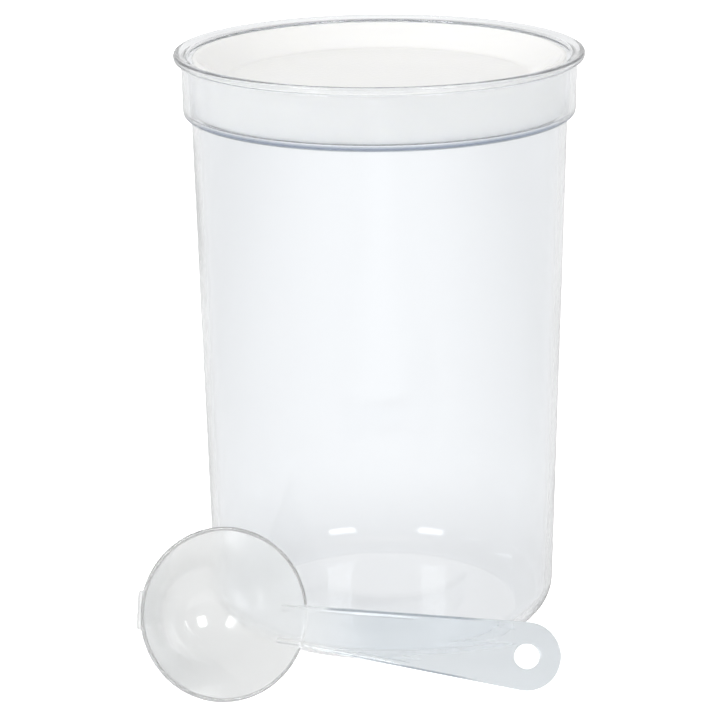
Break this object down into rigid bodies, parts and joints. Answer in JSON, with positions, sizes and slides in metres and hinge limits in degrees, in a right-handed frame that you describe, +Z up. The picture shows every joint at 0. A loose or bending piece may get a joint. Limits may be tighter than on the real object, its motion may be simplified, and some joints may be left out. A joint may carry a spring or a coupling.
{
  "type": "food canister with measuring scoop",
  "caption": "Tall clear round food canister with a wider flared collar, a white recessed press-in lid and a loose clear measuring scoop with a bored ribbed handle.",
  "frame": {"origin": "centre of the canister's flat base, on the surface it stands on", "axes": "+Z up along the canister's axis; -Y towards the scoop, which lies in front; +X along the scoop's handle"},
  "size_m": [0.1319, 0.1398, 0.177],
  "materials": {
    "clear_body": "polished clear styrene, water-clear with a faint blue-grey edge",
    "lid_white": "soft satin milky white polyethylene",
    "clear_scoop": "polished clear styrene"
  },
  "bodies": {
    "canister": {"canister_body": "clear_body"},
    "lid": {"lid": "lid_white"},
    "scoop": {"scoop": "clear_scoop"}
  },
  "joints": [
    {"name": "lid_lift", "type": "slide", "parent": "canister", "child": "lid", "axis": [0, 0, 1], "range_m": [0, 0.08]},
    {"name": "scoop_draw", "type": "slide", "parent": "canister", "child": "scoop", "axis": [0, -1, 0], "range_m": [0, 0.08]}
  ]
}
